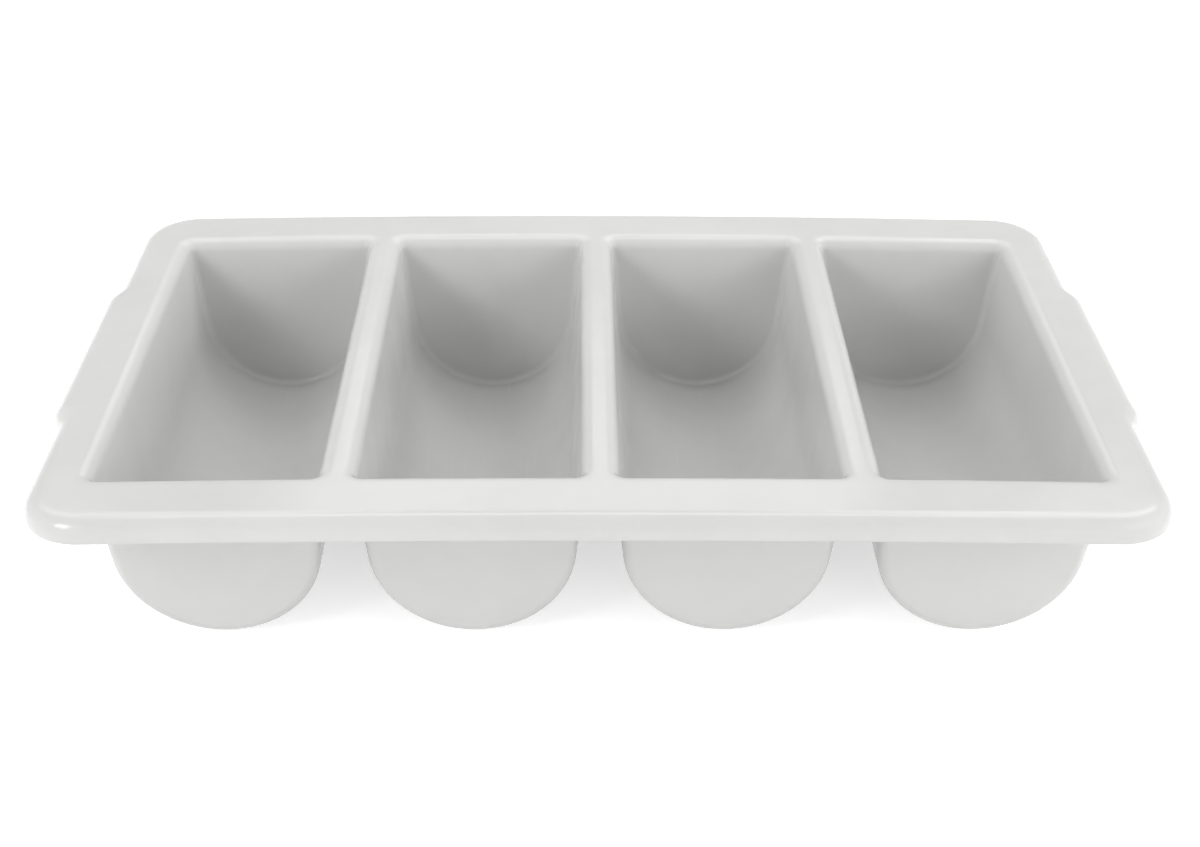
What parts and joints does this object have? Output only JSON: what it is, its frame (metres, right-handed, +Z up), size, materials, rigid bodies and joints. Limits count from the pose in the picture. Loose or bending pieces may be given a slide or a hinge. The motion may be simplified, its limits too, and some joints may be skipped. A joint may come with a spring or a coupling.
{
  "type": "cutlery tray",
  "caption": "One-piece light grey plastic cutlery tray: long round-bottomed compartments side by side under a flat rolled rim with a grip at each short end.",
  "frame": {"origin": "centre of the tray on the plane that the four compartment bottoms rest on", "axes": "+X along the rim's length, across the row of compartments; +Y along the compartments, towards the rear rim; +Z up, out of the compartments"},
  "size_m": [0.54, 0.325, 0.097],
  "materials": {
    "grey_plastic": "light grey injection-moulded polypropylene, semi-gloss and slightly waxy, with a very fine moulding texture"
  },
  "bodies": {
    "root": {"front_rim": "grey_plastic", "rear_rim": "grey_plastic", "left_rim": "grey_plastic", "right_rim": "grey_plastic", "left_grip": "grey_plastic", "right_grip": "grey_plastic", "divider_1": "grey_plastic", "divider_2": "grey_plastic", "divider_3": "grey_plastic", "compartment_1": "grey_plastic", "compartment_2": "grey_plastic", "compartment_3": "grey_plastic", "compartment_4": "grey_plastic"}
  },
  "joints": []
}
